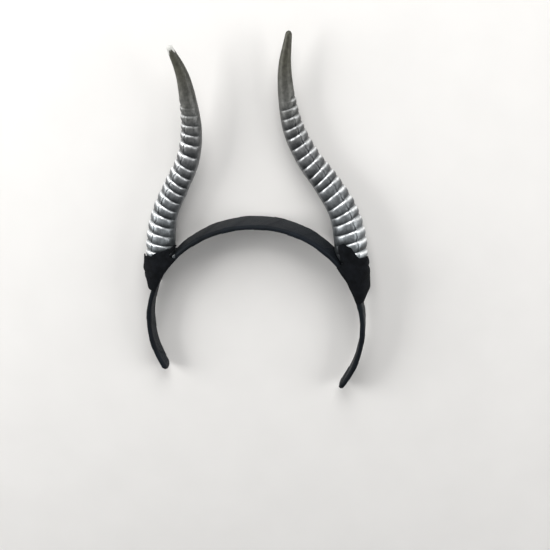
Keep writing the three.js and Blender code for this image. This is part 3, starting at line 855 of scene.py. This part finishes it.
def drop_offcuts(shape):
    """Keeps the largest patch of joined faces."""
    loose = set(shape.faces)
    patches = []
    while loose:
        patch = [loose.pop()]
        for face in patch:
            beside = {other for edge in face.edges for other in edge.link_faces} & loose
            loose -= beside
            patch.extend(beside)
        patches.append(patch)
    patches.sort(key=len)
    bmesh.ops.delete(shape, geom=[f for patch in patches[:-1] for f in patch],
                     context="FACES")


def thicken(shape, axis):
    """Gives the sheet its body inward: full on the band, pulled thin up on the horn."""
    shape.normal_update()
    rim = [edge for edge in shape.edges if edge.is_boundary]
    height = axis.where(np.array([v.co for v in shape.verts]))[0]
    thick = CLOTH + (CLOTH_TOP - CLOTH) * smooth_step(height, *THINNING)
    depth = dict(zip(shape.verts, thick))
    twin = bmesh.ops.duplicate(shape, geom=shape.faces[:])["vert_map"]
    for vert, body in depth.items():
        twin[vert].co -= vert.normal * body
    for edge in rim:
        a, b = edge.verts
        shape.faces.new((a, b, twin[b], twin[a]))


def folds_and_crease(side, axis, spots):
    """How far the felt stands out in its soft folds, less the crease on the outer side."""
    rel = spots - axis.foot
    turn = np.arctan2(rel[:, 0] * axis.sign, -rel[:, 1])
    height = rel[:, 2]
    ridge = sum(share * np.sin(folds * turn + lean * height + start)
                for share, folds, lean, start in FOLD_SETS)
    fade = smooth_step(height, *FOLDS_START) * (1 - 0.5 * smooth_step(height, *FOLDS_EASE))
    off = height - WRAP[side]["crease"] - CREASE_RISE * np.cos(turn)
    bank = np.exp(-((np.abs(off) - CREASE_BANK) / CREASE_BANK_WIDTH) ** 2)
    pull = np.exp(-(off / CREASE_WIDTH) ** 2) - 0.5 * bank
    pull = pull * smooth_step(np.sin(turn), 0.0, 0.7)
    return FOLD_HEIGHT * (0.5 + 0.5 * ridge) * fade - CREASE_DEPTH * pull


def build_wrap(side):
    axis = HornAxis(side)
    shape = stretched_form(side, axis)
    shape.normal_update()
    spots = np.array([v.co for v in shape.verts])
    for vert, fold in zip(shape.verts, folds_and_crease(side, axis, spots)):
        vert.co += vert.normal * fold
    height_above_cut = dict(zip(shape.verts, cut_away(side, axis, spots)))
    for edge in shape.edges[:]:
        a, b = edge.verts
        below, above = height_above_cut[a], height_above_cut[b]
        if (below > 0) != (above > 0):
            _, made = bmesh.utils.edge_split(edge, a, below / (below - above))
            height_above_cut[made] = 0.0
    for face in shape.faces[:]:
        on_cut = [v for v in face.verts if height_above_cut[v] == 0.0]
        if len(on_cut) == 2:
            bmesh.utils.face_split(face, *on_cut)
    gone = [f for f in shape.faces if max(height_above_cut[v] for v in f.verts) > 0]
    bmesh.ops.delete(shape, geom=gone, context="FACES")
    drop_offcuts(shape)
    thicken(shape, axis)
    return shape


for side, (flat, area) in FELT_CUT.items():
    felt = add_piece(f"wrap_{side}_felt", build_wrap(side), FELT)
    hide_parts(f"wrap_{side}")


# Glue: the one small bead of hot glue that squeezed out where the left felt ends on the
# band. Ethylene vinyl acetate, set clear and glossy.
BEAD_PLACE = (-71.4, -12.2, -31.4)
BEAD_SIZE = (0.9, 0.7, 1.5)
BEAD_POINTS = 20
BEAD_OPEN = 0.03                     # radians round each pole, closed by one flat face
BEAD_UNEVEN = 0.12
BEAD_HEAVIER = 0.18                  # at its upper end


def set_glue():
    # Clear hot-melt glue: cloudy, smooth as it set, a small bright highlight.
    made, tree, shader = new_material("set_hot_melt_glue", {
        "Transmission Weight": 0.85, "IOR": 1.48,
    })
    place = node(tree, "TexCoord")
    cloud = node(tree, "TexNoise", {"Scale": 1 / (1.2 * MM), "Detail": 2.0},
                 {"Vector": place.outputs["Object"]})
    ramp = node(tree, "ValToRGB", None, {"Fac": cloud.outputs["Fac"]})
    ramp.color_ramp.elements[0].color = colour("#8d9296")
    ramp.color_ramp.elements[1].color = colour("#b9bfc4")
    tree.links.new(ramp.outputs["Color"], shader.inputs["Base Color"])
    dull = node(tree, "MapRange", {3: 0.12, 4: 0.3}, {0: cloud.outputs["Fac"]})
    tree.links.new(dull.outputs[0], shader.inputs["Roughness"])
    bump = node(tree, "Bump", {"Strength": 0.3, "Distance": 0.1 * MM},
                {"Height": cloud.outputs["Fac"]})
    tree.links.new(bump.outputs["Normal"], shader.inputs["Normal"])
    return made


def build_bead():
    down = np.linspace(BEAD_OPEN, math.pi - BEAD_OPEN, BEAD_POINTS)[:, None]
    turn = 2 * np.pi * np.arange(BEAD_POINTS)[None] / BEAD_POINTS
    bulge = 1 + BEAD_UNEVEN * np.sin(2 * turn + 1) * np.sin(down) + BEAD_HEAVIER * np.cos(down)
    ball = np.stack([np.sin(down) * np.cos(turn), np.sin(down) * np.sin(turn),
                     np.cos(down) + 0 * turn], -1) * bulge[..., None]
    faces = grid_faces(BEAD_POINTS, BEAD_POINTS, True)
    last = BEAD_POINTS * (BEAD_POINTS - 1)
    faces += [list(range(BEAD_POINTS)), list(range(last, last + BEAD_POINTS))]
    return new_shape(ball * BEAD_SIZE + BEAD_PLACE, faces)


add_piece("glue_bead", build_bead(), set_glue())


# Table and light: a plain pale table top, one broad soft light beyond the tips, one at
# each side, and a weak one above, as in a small studio.
def matt_board():
    # Painted board, rolled matt: nearly white, with the faintest orange peel.
    made, tree, shader = new_material("matt_painted_board", {"Roughness": 0.8})
    place = node(tree, "TexCoord")
    peel = node(tree, "TexNoise", {"Scale": 1 / (40 * MM), "Detail": 2.0},
                {"Vector": place.outputs["Object"]})
    ramp = node(tree, "ValToRGB", None, {"Fac": peel.outputs["Fac"]})
    ramp.color_ramp.elements[0].color = colour("#dad8d5")
    ramp.color_ramp.elements[1].color = colour("#e0dedb")
    tree.links.new(ramp.outputs["Color"], shader.inputs["Base Color"])
    return made


TABLE_HALF = 3.0
table_mesh = bpy.data.meshes.new("table")
table_mesh.from_pydata([(x * TABLE_HALF, y * TABLE_HALF, 0) for x, y in
                        ((-1, -1), (1, -1), (1, 1), (-1, 1))], [], [[0, 1, 2, 3]])
table_mesh.materials.append(matt_board())
table = bpy.data.objects.new("table", table_mesh)
bpy.context.scene.collection.objects.link(table)

# Place in metres, side of the square, and power in watts
LIGHTS = {
    "beyond_tips": ((0.0, 1.0, 0.75), 0.8, 13),
    "left_side": ((-1.0, 0.1, 0.5), 0.7, 11.5),
    "right_side": ((1.0, 0.1, 0.5), 0.7, 6),
    "above": ((0.1, -0.2, 1.7), 1.0, 1),
}
AIM = Vector((0, 0, 0.02))
for name, (place, size, power) in LIGHTS.items():
    lamp = bpy.data.lights.new(name, "AREA")
    lamp.size = size
    lamp.energy = power
    holder = bpy.data.objects.new(name, lamp)
    holder.location = place
    holder.rotation_euler = (AIM - Vector(place)).to_track_quat("-Z", "Y").to_euler()
    bpy.context.scene.collection.objects.link(holder)

ROOM_COLOUR = "#d8dadd"
ROOM_STRENGTH = 0.35
world = bpy.data.worlds.new("studio")
bpy.context.scene.world = world
world.use_nodes = True
room = world.node_tree.nodes["Background"]
room.inputs["Color"].default_value = colour(ROOM_COLOUR)
room.inputs["Strength"].default_value = ROOM_STRENGTH
bpy.context.scene.view_settings.view_transform = "Standard"

# Camera: the picture's own angle to the horns, from in front of the band and a little
# above it, and rolled a little. As the part lies, it looks down at the table.
AZIMUTH = math.radians(5)
ELEVATION = math.radians(22)
ROLL = math.radians(4)
CAMERA_DISTANCE = 1000
CAMERA_TARGET = (8.8, 0, -43)
CAMERA_LENS = 81.8
SENSOR = 36


def worn_direction(x, y, z):
    return ACROSS * x + BACK * y + UP * z


toward = worn_direction(math.sin(AZIMUTH) * math.cos(ELEVATION),
                        -math.cos(AZIMUTH) * math.cos(ELEVATION), math.sin(ELEVATION))
level = worn_direction(math.cos(AZIMUTH), math.sin(AZIMUTH), 0)
right = level * math.cos(ROLL) + toward.cross(level) * math.sin(ROLL)
lens = bpy.data.cameras.new("camera")
lens.lens = CAMERA_LENS
lens.sensor_width = SENSOR
camera = bpy.data.objects.new("camera", lens)
spot = Vector(lying(CAMERA_TARGET)) + toward * CAMERA_DISTANCE * MM
turned = Matrix((right, toward.cross(right), toward)).transposed().to_4x4()
camera.matrix_world = Matrix.Translation(spot) @ turned
bpy.context.scene.collection.objects.link(camera)
bpy.context.scene.camera = camera
